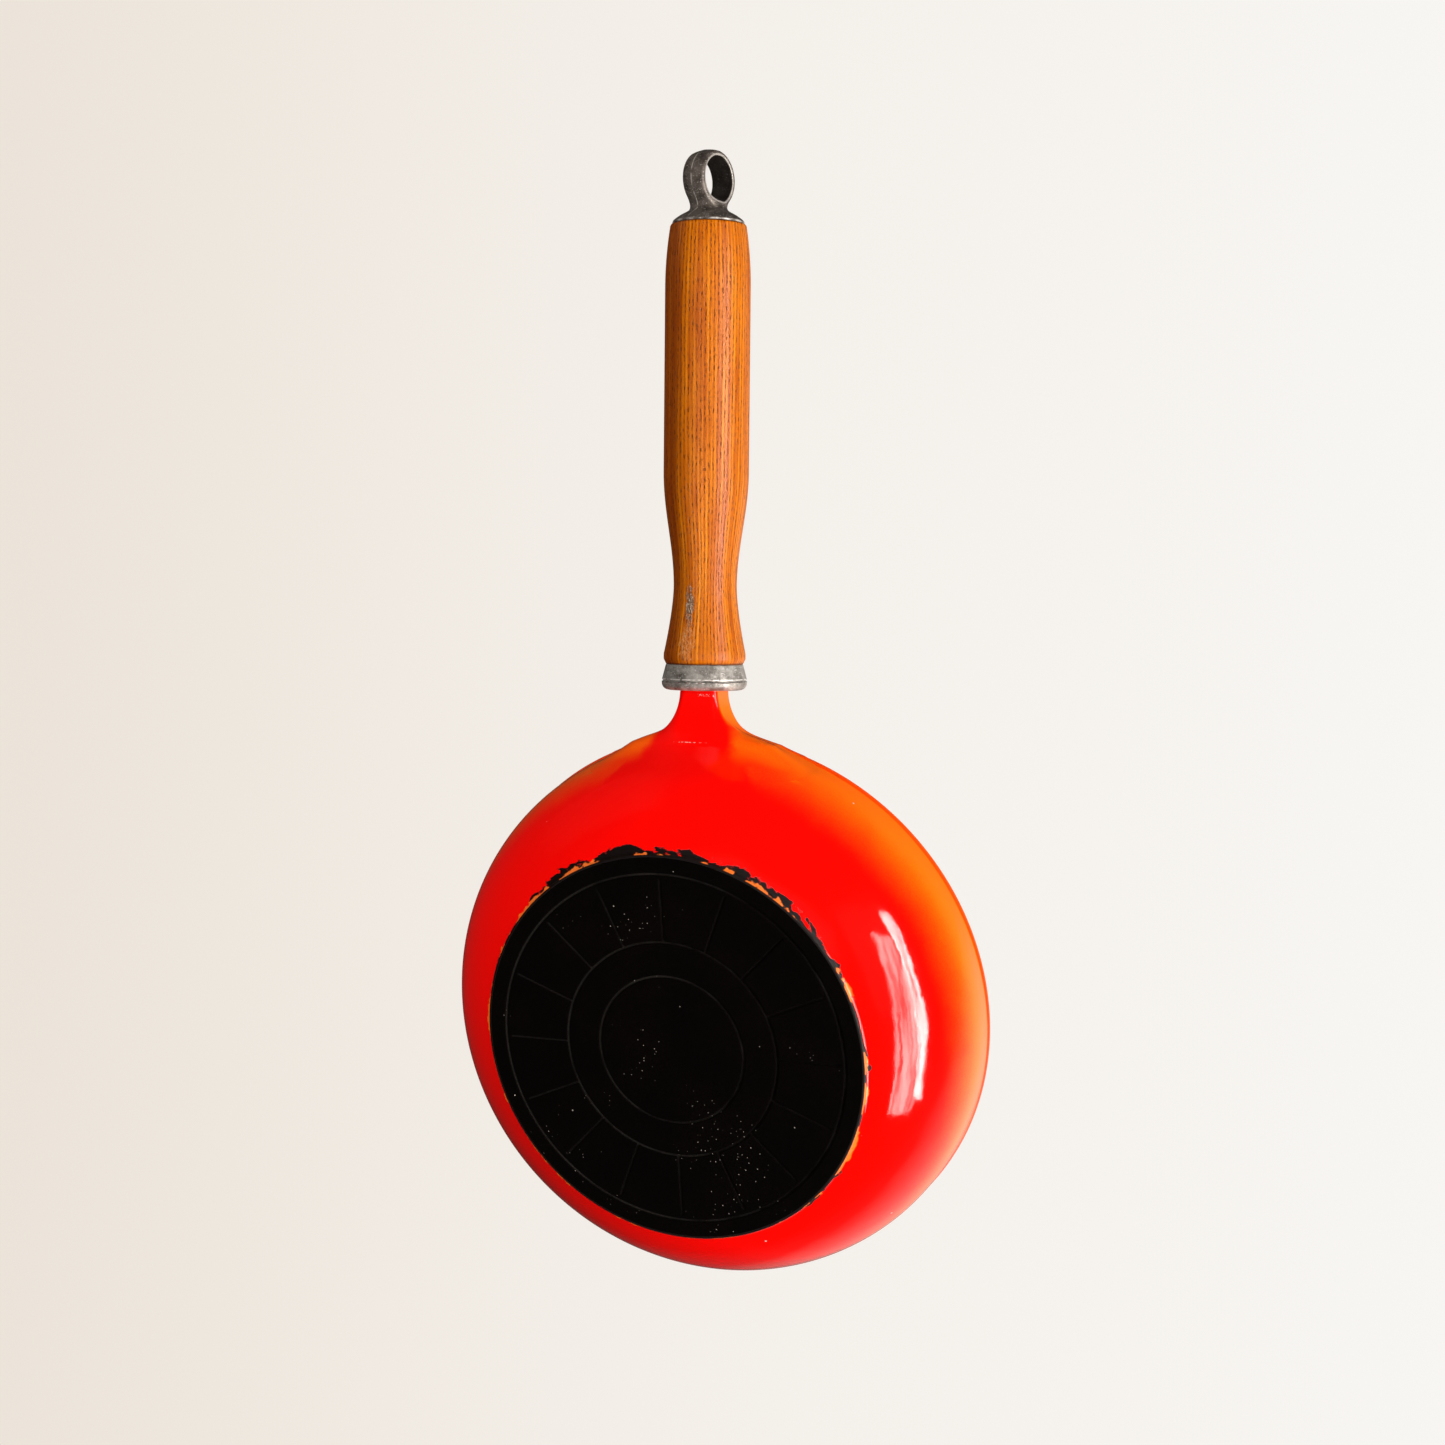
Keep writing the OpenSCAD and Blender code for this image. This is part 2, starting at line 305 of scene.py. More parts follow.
# -------------------- materials
class Paint:
    """A material's node tree, with a short call for each kind of node, in millimetres from its seat."""

    def __init__(self, name, seat=None, **shader):
        self.material = bpy.data.materials.new(name)
        self.material.use_nodes = True
        self.tree = self.material.node_tree
        self.shader = self.tree.nodes["Principled BSDF"]
        for socket, value in shader.items():
            self.shader.inputs[socket.replace("_", " ")].default_value = value
        place = self.add("ShaderNodeTexCoord").outputs
        self.mm = self.vector("SCALE", place["Object"], scale=1 / MM)
        if seat:
            moved = self.vector("SUBTRACT", self.mm, tuple(seat.origin))
            self.mm = self.join(*(self.vector("DOT_PRODUCT", moved, tuple(axis)) for axis in seat.axes))
        self.x, self.y, self.z = self.split(self.mm)
        self.nx, self.ny, self.nz = self.split(place["Normal"])

    def add(self, kind, **settings):
        node = self.tree.nodes.new(kind)
        for name, value in settings.items():
            setattr(node, name, value)
        return node

    def feed(self, socket, value):
        if isinstance(value, bpy.types.NodeSocket):
            self.tree.links.new(value, socket)
        else:
            socket.default_value = value

    def split(self, vector):
        node = self.add("ShaderNodeSeparateXYZ")
        self.feed(node.inputs[0], vector)
        return node.outputs[0], node.outputs[1], node.outputs[2]

    def join(self, x, y, z):
        node = self.add("ShaderNodeCombineXYZ")
        for socket, value in zip(node.inputs, (x, y, z)):
            self.feed(socket, value)
        return node.outputs[0]

    def vector(self, operation, first, second=None, scale=None):
        node = self.add("ShaderNodeVectorMath", operation=operation)
        self.feed(node.inputs[0], first)
        if second is not None:
            self.feed(node.inputs[1], second)
        if scale is not None:
            self.feed(node.inputs["Scale"], scale)
        return node.outputs["Value" if operation in ("LENGTH", "DOT_PRODUCT") else "Vector"]

    def math(self, operation, *values):
        node = self.add("ShaderNodeMath", operation=operation)
        for socket, value in zip(node.inputs, values):
            self.feed(socket, value)
        return node.outputs[0]

    def times(self, *values):
        result = values[0]
        for value in values[1:]:
            result = self.math("MULTIPLY", result, value)
        return result

    def either(self, *values):
        result = values[0]
        for value in values[1:]:
            result = self.math("MAXIMUM", result, value)
        return result

    def plus(self, first, second):
        return self.math("ADD", first, second)

    def less(self, first, second):
        return self.math("SUBTRACT", first, second)

    def between(self, value, low, high):
        """0 at low, 1 at high and smooth between. It falls where low is the greater."""
        node = self.add("ShaderNodeMapRange", interpolation_type="SMOOTHSTEP")
        start, end = (0, 1) if low < high else (1, 0)
        for socket, number in zip(node.inputs[1:5], (min(low, high), max(low, high), start, end)):
            socket.default_value = number
        self.feed(node.inputs[0], value)
        return node.outputs[0]

    def noise(self, where, scale, detail=2.0, rough=0.5, warp=0.0):
        node = self.add("ShaderNodeTexNoise")
        self.feed(node.inputs["Vector"], where)
        settings = {"Scale": scale, "Detail": detail, "Roughness": rough, "Distortion": warp}
        for name, value in settings.items():
            node.inputs[name].default_value = value
        return node.outputs["Fac"]

    def sway(self, *noise):
        """Noise that swings round 0."""
        return self.less(self.noise(*noise), 0.5)

    def size(self, value):
        return self.math("ABSOLUTE", value)

    def apart(self, value, middle):
        return self.size(self.less(value, middle))

    def around(self):
        """Distance from the seat's Z axis."""
        return self.vector("LENGTH", self.stretch(1, 1, 0))

    def cells(self, where, scale, result="Distance"):
        node = self.add("ShaderNodeTexVoronoi")
        self.feed(node.inputs["Vector"], where)
        node.inputs["Scale"].default_value = scale
        return node.outputs[result]

    def cell_kind(self, where, scale, channel=0):
        """A random number for each cell."""
        return self.split(self.cells(where, scale, "Color"))[channel]

    def stretch(self, x, y, z, where=None):
        return self.vector("MULTIPLY", where or self.mm, (x, y, z))

    def mix(self, share, first, second):
        node = self.add("ShaderNodeMix", data_type="RGBA")
        self.feed(node.inputs[0], share)
        for socket, value in ((node.inputs[6], first), (node.inputs[7], second)):
            self.feed(socket, value if isinstance(value, bpy.types.NodeSocket) else (*value, 1))
        return node.outputs[2]

    def blend(self, share, first, second):
        """A number that goes from first to second."""
        node = self.add("ShaderNodeMix", data_type="FLOAT")
        for socket, value in zip(node.inputs[0:1] + node.inputs[2:4], (share, first, second)):
            self.feed(socket, value)
        return node.outputs[0]

    def ramp(self, value, *stops):
        node = self.add("ShaderNodeValToRGB")
        self.feed(node.inputs[0], value)
        elements = node.color_ramp.elements
        for i, (place, colour) in enumerate(stops):
            element = elements[i] if i < 2 else elements.new(place)
            element.position, element.color = place, (*colour, 1)
        return node.outputs[0]

    def relief(self, *layers):
        """Bumps in the surface, each a height from 0 to 1 and what 1 stands for in millimetres."""
        normal = None
        for height, size in layers:
            node = self.add("ShaderNodeBump")
            node.inputs["Distance"].default_value = size * MM
            self.feed(node.inputs["Height"], height)
            if normal is not None:
                self.feed(node.inputs["Normal"], normal)
            normal = node.outputs[0]
        self.feed(self.shader.inputs["Normal"], normal)

    def finish(self, colour, roughness=None, metallic=None):
        self.feed(self.shader.inputs["Base Color"], colour)
        for name, value in (("Roughness", roughness), ("Metallic", metallic)):
            if value is not None:
                self.feed(self.shader.inputs[name], value)
        return self.material


RED = (0.90, 0.0012, 0.0002)
RED_ORANGE = (0.92, 0.040, 0.0006)
ORANGE = (0.95, 0.085, 0.0008)
PALE_ORANGE = (0.97, 0.135, 0.002)
RIM_ORANGE = (0.80, 0.050, 0.0008)
PRIMER = (0.90, 0.17, 0.015)
SOOT = (0.004, 0.0022, 0.002)
CHIP = (0.85, 0.72, 0.66)


def from_rim(p):
    """Distance along the handle's line from the rim."""
    return p.vector("DOT_PRODUCT", p.vector("SUBTRACT", p.mm, tuple(RIM_POINT)), tuple(ALONG))


def sprayed_orange(p, along):
    """Share of orange: all where the casting turns upright, none under the neck, and more on its flanks."""
    speckle = p.noise(p.mm, 1.3, 3, 0.7)
    uneven = p.plus(p.times(p.less(speckle, 0.5), 0.16), p.times(p.sway(p.mm, 0.045, 3, 0.5), 0.14))
    spray = p.between(p.plus(p.nz, uneven), -0.54, -0.06)
    ragged = p.times(p.sway(p.mm, 0.16, 4, 0.6), p.times(p.between(along, 6.0, -4.0), 7))
    width = p.plus(p.size(p.plus(p.y, 1.0)), ragged)
    spread = p.less(width, p.times(p.math("MAXIMUM", p.less(ARC_TOP, p.z), 0), 0.6))
    facing = p.times(p.between(p.size(p.ny), 0.88, 0.60), p.between(p.nz, 0.12, 0.0),
                     p.between(p.nx, -0.35, -0.05))
    under = p.times(p.between(p.x, 84, 98), p.between(spread, 17.5, 14.0), facing)
    flank = p.times(p.between(p.plus(width, p.times(along, 0.30)), 14.5, 19.5), p.between(p.x, 95, 103),
                    p.between(p.z, 31, 42))
    return p.either(p.times(spray, p.less(1.0, under)), p.times(flank, p.blend(speckle, 0.62, 1.0)))


def burnt_soot(p, toward, side):
    """Flakes of soot that follow the foot, most on the handle's side."""
    round_at = p.times(p.math("ARCTAN2", p.y, p.x), BASE_R)
    smear = p.noise(p.join(p.times(round_at, 0.10), p.times(p.z, 0.34), 0.0), 1.0, 4, 0.55, 0.5)
    by_handle, by_side = p.between(toward, 0.45, 0.93), p.between(side, 0.5, 0.95)
    where = p.plus(p.times(by_handle, 0.20), p.times(by_side, 0.07))
    height = p.times(p.less(p.z, FOOT_H), 0.11)
    soot = p.between(p.plus(p.less(smear, height), where), 0.58, 0.625)
    spots = p.noise(p.join(p.times(round_at, 0.42), p.times(p.z, 0.7), 0.0), 1.0, 3, 0.6)
    spots = p.plus(p.less(spots, p.times(height, 0.5)), p.times(where, 0.3))
    return p.times(p.either(soot, p.times(p.between(spots, 0.67, 0.71), 0.8)), p.between(p.z, 9, 5))


def enamel_chips(p, along):
    """Chips by the collar, in a row where the neck meets the bowl, and a few alone."""
    dash = p.between(p.noise(p.stretch(0.2, 0.55, 0.2), 1.0, 3, 0.6), 0.51, 0.55)
    row = p.times(p.between(p.apart(along, -0.9), 0.20, 0.06), p.between(p.size(p.y), 8, 6))
    nicks = p.times(p.between(p.apart(along, NECK_LEN - 1.9), 0.6, 0.3), p.between(p.y, -1.0, 1.0),
                    p.between(p.noise(p.mm, 1.6, 3), 0.56, 0.60))
    lone = p.times(p.between(p.cells(p.mm, 0.06), 0.030, 0.018),
                   p.between(p.cells(p.mm, 0.06, "Color"), 0.55, 0.6))
    return p.either(p.times(p.either(p.times(row, dash), nicks), p.between(p.nz, -0.45, -0.75)), lone)


def glossy_enamel():
    """Red under the pan, sprayed to orange up its sides, with soot, a worn edge at the foot and chips."""
    p = Paint("enamel_red_to_orange", IOR=1.5)
    radius, along = p.around(), from_rim(p)
    toward, side = (p.math("DIVIDE", part, p.math("MAXIMUM", radius, 1.0)) for part in (p.x, p.y))
    spray = sprayed_orange(p, along)
    colour = p.ramp(spray, (0.0, RED), (0.38, RED_ORANGE), (0.72, ORANGE), (1.0, PALE_ORANGE))
    bead = p.times(p.between(p.z, BEAD_C[1] - 2.4, BEAD_C[1] - 1.2),
                   p.between(radius, RIM_R - 1.4, RIM_R - 0.3), p.between(p.x, RIM_R - 0.4, RIM_R - 4))
    colour = p.mix(p.times(bead, 0.8), colour, RIM_ORANGE)
    soot = burnt_soot(p, toward, side)
    colour = p.mix(soot, colour, SOOT)

    # The black base coat laps the foot, and its edge is worn to the primer in places
    lap = p.plus(p.z, p.times(p.sway(p.mm, 0.30, 4), 1.5))
    wear = p.plus(p.plus(p.noise(p.mm, 0.05, 2), p.times(p.between(side, 0.0, -0.7), 0.05)),
                  p.times(p.sway(p.mm, 0.22, 2), 0.4))
    wide = p.between(p.plus(wear, p.times(p.between(toward, 0.2, 0.7), 0.04)), 0.54, 0.62)
    worn = p.times(p.between(p.z, 0.15, 0.35), p.between(p.less(lap, p.times(wide, 0.6)), 1.15, 0.85),
                   p.between(wear, 0.50, 0.53))
    coated = p.between(lap, 1.15, 0.9)
    colour = p.mix(p.times(coated, p.between(radius, 84, 82)), colour, SOOT)
    colour = p.mix(p.times(worn, 0.9), colour, PRIMER)
    chips = enamel_chips(p, along)
    colour = p.mix(p.times(chips, 0.8), colour, CHIP)
    p.relief((p.noise(p.mm, 0.07, 2, 0.5), 0.22), (p.noise(p.mm, 0.55, 3, 0.55), 0.018),
             (p.less(1.0, p.either(chips, p.times(soot, 0.4))), 0.12))
    return p.finish(colour, roughness=p.blend(p.either(soot, coated, chips), 0.07, 0.62))


def base_enamel():
    """Matt black, rough as cast, with dust in the engraving and white specks where it is worn."""
    p = Paint("enamel_base_matt_black", IOR=1.35, Specular_IOR_Level=0.12)
    radius = p.around()
    grit = p.noise(p.mm, 2.2, 4, 0.7)
    stain = p.noise(p.mm, 0.03, 4, 0.6)
    colour = p.mix(stain, (0.0001, 0.0001, 0.0001), (0.0018, 0.0009, 0.0006))
    dusty = p.plus(p.noise(p.mm, 0.05, 4, 0.6), p.times(p.between(p.y, 60, -70), 0.35))
    from_ring = (p.apart(radius, share * BASE_R) for share in RING_SHARES)
    rings = p.either(*(p.between(off, 1.2, 0.8) for off in from_ring))
    dust = p.times(p.between(p.z, 0.10, 0.34), p.between(dusty, 0.42, 0.95), p.blend(rings, 0.35, 1.0))
    dust = p.times(dust, p.blend(p.noise(p.mm, 1.1, 3, 0.7), 0.1, 1.3))
    colour = p.mix(dust, colour, (0.020, 0.018, 0.016))
    often = p.times(p.between(p.x, 20, -60), 0.10)
    worn_patch = p.between(p.plus(p.noise(p.mm, 0.028, 3, 0.6), often), 0.53, 0.66)
    chosen = p.plus(p.cell_kind(p.mm, 0.95), p.times(worn_patch, 0.34))
    flecks = p.times(p.between(p.cells(p.mm, 0.95), 0.22, 0.08), p.between(chosen, 1.08, 1.30))
    stray = p.times(p.between(p.cells(p.mm, 0.16), 0.05, 0.03),
                    p.between(p.cell_kind(p.mm, 0.16, 1), 0.72, 0.78))
    colour = p.mix(p.either(flecks, stray), colour, (0.42, 0.38, 0.34))
    broken = p.plus(p.noise(p.mm, 0.035, 2), p.times(p.sway(p.mm, 0.6, 3), 0.6))
    edge = p.times(p.between(radius, BASE_R - 0.9, BASE_R - 0.25), p.between(broken, 0.55, 0.60))
    colour = p.mix(p.times(edge, 0.9), colour, PRIMER)
    p.relief((grit, 0.05), (p.noise(p.mm, 0.35, 4, 0.6), 0.10))
    return p.finish(colour, roughness=p.blend(grit, 0.72, 0.95))


def inner_enamel():
    """Satin black, scuffed and finely scratched."""
    p = Paint("enamel_inside_satin_black", IOR=1.45)
    scuff = p.noise(p.mm, 0.05, 5, 0.6)
    scratch = p.between(p.noise(p.stretch(0.05, 1.4, 0.4), 1.0, 3, 0.6), 0.60, 0.68)
    colour = p.mix(scuff, (0.006, 0.0058, 0.006), (0.014, 0.0135, 0.0135))
    p.relief((p.noise(p.mm, 0.8, 4, 0.6), 0.02))
    rough = p.plus(p.blend(scuff, 0.26, 0.44), p.times(scratch, 0.12))
    return p.finish(colour, roughness=rough)


def varnished_wood():
    """Ring-porous wood with its grain along +Z, pores in rows of dashes, satin varnish and worn patches,
    with painted shade on the side away from the window lights and at each end.
    """
    p = Paint("wood_varnished_ring_porous", GRIP_SEAT, IOR=1.48, Specular_IOR_Level=0.32)
    drift = p.noise(p.stretch(0.05, 0.05, 0.010), 1.0, 3, 0.5)
    across = p.plus(p.times(p.math("ARCTAN2", p.y, p.x), GRAIN_R), p.times(p.less(drift, 0.5), 2.5))

    def along_grain(fine, long, seed=0.0):
        """A place in the wood: how quickly it changes across the grain and along it, per millimetre."""
        return p.join(p.plus(p.times(across, fine), seed), 0.0, p.times(p.z, long))

    def pore_dashes(spacing, long, width, seed):
        """Open pores as short dashes, each a long bead in the wood."""
        place = p.join(p.plus(p.math("DIVIDE", across, spacing), seed), 0.0, p.math("DIVIDE", p.z, long))
        return p.between(p.cells(place, 1.0), width, width * 0.72)

    streak = p.noise(along_grain(0.55, 0.012), 1.0, 4, 0.6)
    fine = p.noise(along_grain(4.0, 0.07), 1.0, 3, 0.65)
    ring = p.apart(p.math("FRACT", p.math("DIVIDE", across, 1.45)), 0.5)
    early = p.between(ring, 0.30, 0.12)
    pores = p.either(p.times(pore_dashes(0.46, 2.3, 0.44, 0.0), early),
                     p.times(pore_dashes(0.42, 1.7, 0.30, 31.7), 0.45))

    tone = p.plus(p.times(streak, 0.60), p.times(fine, 0.40))
    colour = p.ramp(tone, (0.32, (0.26, 0.040, 0.0003)), (0.45, (0.42, 0.090, 0.0006)),
                    (0.55, (0.58, 0.160, 0.0012)), (0.68, (0.72, 0.240, 0.006)))
    # Painted shade: the grip's side away from the window lights (-Y) is darkened, its edge made ragged by
    # the streaks.
    shade_painted_side = p.between(p.plus(p.y, p.times(p.less(streak, 0.5), 7)), -1.5, -8.5)
    colour = p.mix(p.times(shade_painted_side, 0.72), colour, (0.11, 0.012, 0.0005))
    colour = p.mix(p.times(early, p.blend(streak, 0.10, 0.75)), colour, (0.20, 0.030, 0.0003))
    colour = p.mix(p.times(pores, 0.80), colour, (0.060, 0.008, 0.0003))

    def patch(y, z, wide, tall):
        """A ragged oval on the side that faces down."""
        dy = p.math("DIVIDE", p.less(p.y, y), wide)
        dz = p.math("DIVIDE", p.less(p.z, z), tall)
        far = p.math("SQRT", p.plus(p.times(dy, dy), p.times(dz, dz)))
        edge = p.plus(far, p.times(p.sway(p.stretch(0.9, 0.9, 0.35), 1.0, 4, 0.7), 2.4))
        return p.times(p.between(edge, 1.0, 0.6), p.between(p.x, 2.0, 6.0))

    worn = patch(-1.3, 23.0, 2.0, 8.0)
    scuff = patch(-1.6, 9.0, 3.6, 8.5)
    scratch = p.noise(p.stretch(2.6, 2.6, 0.8), 1.0, 4, 0.75)
    colour = p.mix(p.times(scuff, p.between(scratch, 0.45, 0.62), 0.6), colour, (0.60, 0.34, 0.15))
    patch_tone = p.ramp(scratch, (0.38, (0.030, 0.014, 0.007)), (0.52, (0.17, 0.10, 0.055)),
                        (0.64, (0.56, 0.48, 0.38)))
    colour = p.mix(p.times(worn, 0.9), colour, patch_tone)
    # Painted shade with dirt: a dark band at each end, in the joints with the collar and the washer.
    joint_shade_and_dirt = p.either(p.between(p.z, 1.0, 0.1), p.between(p.z, GRIP_LEN - 0.7, GRIP_LEN - 0.1))
    colour = p.mix(p.times(joint_shade_and_dirt, 0.8), colour, (0.05, 0.010, 0.001))

    p.relief((p.less(1.0, pores), 0.10), (fine, 0.03), (p.noise(p.stretch(0.25, 0.25, 0.05), 1.0, 2), 0.12),
             (p.times(worn, scratch), 0.30))
    dull = p.either(worn, p.times(scuff, 0.6), p.times(pores, 0.6))
    rough = p.plus(p.blend(fine, 0.28, 0.42), p.times(dull, 0.35))
    return p.finish(colour, roughness=rough)


def cast_alloy(name, seat, dark, light, bright, wear, seed, painted_shade=None):
    """Die-cast light alloy, mottled, pitted and scratched. The wear function brightens worn metal, and on
    the collar a painted highlight; the optional shade function darkens with painted shade.
    """
    p = Paint(name, seat, IOR=1.5)
    moved = p.vector("ADD", p.mm, (seed, seed, seed))
    mottle = p.noise(moved, 0.22, 5, 0.65)
    grain = p.noise(moved, 2.6, 4, 0.7)
    pits = p.times(p.between(p.cells(moved, 0.75), 0.22, 0.12),
                   p.between(p.cell_kind(moved, 0.75), 0.55, 0.65))
    scratch = p.between(p.noise(p.stretch(0.35, 0.9, 2.6, moved), 1.0, 3, 0.6), 0.61, 0.66)
    colour = p.mix(p.between(mottle, 0.30, 0.72), dark, light)
    colour = p.mix(p.times(p.between(grain, 0.5, 0.8), 0.35), colour, bright)
    colour = p.mix(p.times(p.either(scratch, pits), 0.55), colour, bright)
    colour = p.mix(wear(p), colour, bright)
    # Painted shade: where the shade mask is 1 the metal darkens towards a quarter of its dark colour.
    if painted_shade:
        colour = p.mix(p.times(painted_shade(p), 0.8), colour, tuple(c * 0.25 for c in dark))
    p.relief((p.less(1.0, pits), 0.10), (grain, 0.035), (p.less(1.0, scratch), 0.02))
    return p.finish(colour, roughness=p.blend(mottle, 0.34, 0.52), metallic=p.blend(mottle, 0.45, 0.6))


def collar_lip_highlight(p):
    # A painted highlight: a bright line, broken by noise, along the lip just above the groove.
    broken = p.between(p.noise(p.mm, 0.5, 3), 0.38, 0.55)
    groove = p.between(p.apart(p.z, 4.25), 0.35, 0.10)
    return p.times(groove, broken, 0.9)


def from_hole(p):
    """Distance from the axis of the eye's hole."""
    high = p.less(p.z, RING_AT)
    return p.math("SQRT", p.plus(p.times(p.x, p.x), p.times(high, high)))


def eye_wear(p):
    """Bright hole rims, casting seam and flange edge, each broken by handling."""
    broken = p.between(p.noise(p.mm, 0.35, 3), 0.36, 0.56)
    bore = from_hole(p)
    rims = p.times(p.between(p.apart(bore, HOLE_D / 2 + 0.55), 0.55, 0.15),
                   p.between(p.size(p.y), BAND_W / 2 - 0.9, BAND_W / 2 - 0.35))
    seam = p.times(p.between(p.size(p.y), 0.28, 0.10),
                   p.between(bore, HOLE_D / 2 + 1.0, HOLE_D / 2 + 1.6))
    around = p.around()
    flange = p.times(p.between(p.z, 1.0, 0.55), p.between(around, FLANGE_D / 2 - 0.6, FLANGE_D / 2 - 0.2))
    high_spots = p.either(p.times(rims, 0.6), p.times(seam, broken, 0.9), p.times(flange, broken, 0.9))
    return p.times(high_spots, 0.85)


def bore_painted_shade(p):
    """Painted shade on the inner wall of the eye's hole."""
    bore = from_hole(p)
    return p.times(p.between(bore, HOLE_D / 2 + 0.30, HOLE_D / 2 + 0.05), p.between(p.z, 2, 5))


def plated_steel(name, colour, roughness):
    p = Paint(name, GRIP_SEAT, IOR=1.6)
    blotch = p.noise(p.mm, 0.4, 4, 0.6)
    turned = p.noise(p.stretch(6, 6, 0.4), 1.0, 3, 0.6)
    dull = tuple(c * 0.55 for c in colour)
    p.relief((turned, 0.012), (blotch, 0.02))
    rough = p.blend(turned, roughness, roughness + 0.16)
    return p.finish(p.mix(blotch, dull, colour), roughness=rough, metallic=0.85)


enamel = glossy_enamel()
base_black = base_enamel()
inside_black = inner_enamel()
wood = varnished_wood()
collar_metal = cast_alloy("collar_cast_alloy", COLLAR_SEAT,
                          (0.10, 0.086, 0.072), (0.47, 0.44, 0.405), (0.88, 0.85, 0.81), collar_lip_highlight, 0.0)
eye_metal = cast_alloy("eye_cast_alloy", EYE_SEAT,
                       (0.042, 0.031, 0.025), (0.175, 0.145, 0.125), (0.72, 0.67, 0.62), eye_wear, 40.0,
                       bore_painted_shade)
rod_steel = plated_steel("rod_zinc_steel", (0.60, 0.60, 0.62), 0.28)
washer_steel = plated_steel("washer_zinc_steel", (0.66, 0.66, 0.66), 0.30)
spring_steel = plated_steel("spring_dark_steel", (0.20, 0.19, 0.19), 0.34)


# -------------------- pan
def pan_angles():
    """Columns round the bowl: close together at each spoke's line and even between them."""
    sector = 360 / SPOKES
    near = [0, 0.22, 0.44, 0.66, 0.95, 1.4]
    far = list(np.linspace(2.4, sector - 2.4, 16))
    marks = sorted([-a for a in near[1:]] + near + far)
    return np.radians(np.concatenate([np.array(marks) + sector * i for i in range(SPOKES)]))


def bowl_outline():
    """From the base's centre over the foot, up the wall, over the bead and down the inside, in bands."""
    marks = [(share, offset) for share in RING_SHARES
             for offset in (-1, -0.6, -0.4, -0.2, 0, 0.2, 0.4, 0.6, 1)]
    marks += [(SPOKE_SHARES[1], offset) for offset in (-0.5, 0, 0.5, 1)]
    rings = sorted({round(share * BASE_R + offset, 3) for share, offset in marks})
    spaced = np.arange(2.0, BASE_R - FOOT_EDGE_R - 0.6, 2.4)
    plain = [r for r in spaced if min(abs(r - q) for q in rings) > 1.3]
    base = [(r, 0.0) for r in sorted(rings + plain)] + [(BASE_R - FOOT_EDGE_R - 0.3, 0.0)]
    foot = arc((BASE_R - FOOT_EDGE_R, FOOT_EDGE_R), FOOT_EDGE_R, -90, 0, 7)
    start = math.degrees(math.asin((FOOT_H - ARC_TOP) / ARC_R))
    wall = arc((ARC_X, ARC_TOP), ARC_R, start, 0, 54)
    join = math.degrees(math.asin(math.sqrt(BEAD_R ** 2 - (WALL_R - BEAD_C[0]) ** 2) / BEAD_R))
    band_top = BEAD_C[1] - BEAD_R * math.sin(math.radians(join))
    band = [(WALL_R, z) for z in np.linspace(ARC_TOP, band_top - 0.35, 6)[1:]]
    bead = arc(BEAD_C, BEAD_R, -join + 8, 180, 22)
    inner_r = ARC_R - WALL_T
    drop = [(RIM_R - 2 * BEAD_R, z) for z in np.linspace(BEAD_C[1] - 0.6, ARC_TOP + 1, 5)]
    floor_turn = math.degrees(math.asin((FLOOR_T - ARC_TOP) / inner_r))
    inner = arc((ARC_X, ARC_TOP), inner_r, 0, floor_turn + 1.5, 44)
    floor = [(r, FLOOR_T) for r in np.linspace(inner[-1][0] - 1.6, 2.0, 26)]
    return [(base, "base"), (foot + wall + band + bead + drop, "outer"), (inner + floor, "inner")]


def dent(distance):
    """Share of the engraving's depth at a distance from a line's middle, with rounded edges."""
    t = np.clip((np.abs(distance) - GROOVE_W * 0.22) / (GROOVE_W * 0.36), 0, 1)
    return 1 - ease(t)


def engrave(points):
    """Lifts the base's points into the engraved rings and spokes."""
    x, y = points[:, 0], points[:, 1]
    radius, turn = np.hypot(x, y), np.arctan2(y, x)
    depth = np.zeros(len(points))
    for share in RING_SHARES:
        depth = np.maximum(depth, dent(radius - share * BASE_R))
    sector = 2 * math.pi / SPOKES
    off = (turn + sector / 2) % sector - sector / 2
    beyond = np.maximum(SPOKE_SHARES[0] * BASE_R - radius, radius - SPOKE_SHARES[1] * BASE_R)
    depth = np.maximum(depth, dent(np.hypot(radius * np.sin(off), np.maximum(beyond, 0))))
    points[:, 2] += depth * GROOVE_DEPTH
    return points


def sink_under_neck(ring):
    """Lowers the bead where the neck's root covers it, so that it can't show through."""
    x, y, z = ring[:, 0], ring[:, 1], ring[:, 2]
    radius = np.hypot(x, y)
    lean = np.arctan2(z - BEAD_C[1], radius - BEAD_C[0])
    run = np.where(z > BEAD_C[1], (BEAD_FROM - lean) * BEAD_R, BEAD_FROM * BEAD_R + BEAD_C[1] - z)
    across = np.degrees(np.abs(np.arctan2(y, x))) / ROOT_TURN
    up = np.clip(1 - (run - ROOT_EDGE) / (ROOT_SHARE * ROOT_LEN), 0, 9)
    inside = 1 - (across ** (2 / ROOT_OVAL) + up ** (2 / ROOT_OVAL)) ** (ROOT_OVAL / 2)
    sunk = SINK * np.clip(inside / 0.12, 0, 1) * (run > 0) * (radius > BEAD_C[0])
    return np.stack([x * (1 - sunk / radius), y * (1 - sunk / radius), z], 1)


def make_bowl():
    angles = pan_angles()
    order = ["outer", "base", "inner"]
    shape = {"base": engrave, "outer": sink_under_neck}
    rings, slots = [], []
    for outline, band in bowl_outline():
        for ring in lathe_rings(outline, angles):
            rings.append(shape[band](ring) if band in shape else ring)
            slots.append(order.index(band))
    points, faces = stack(rings)
    slots = np.repeat(slots[1:] + [order.index("base"), order.index("inner")], len(angles))
    return add_object("pan_bowl", points, faces, [enamel, base_black, inside_black], slots=slots)


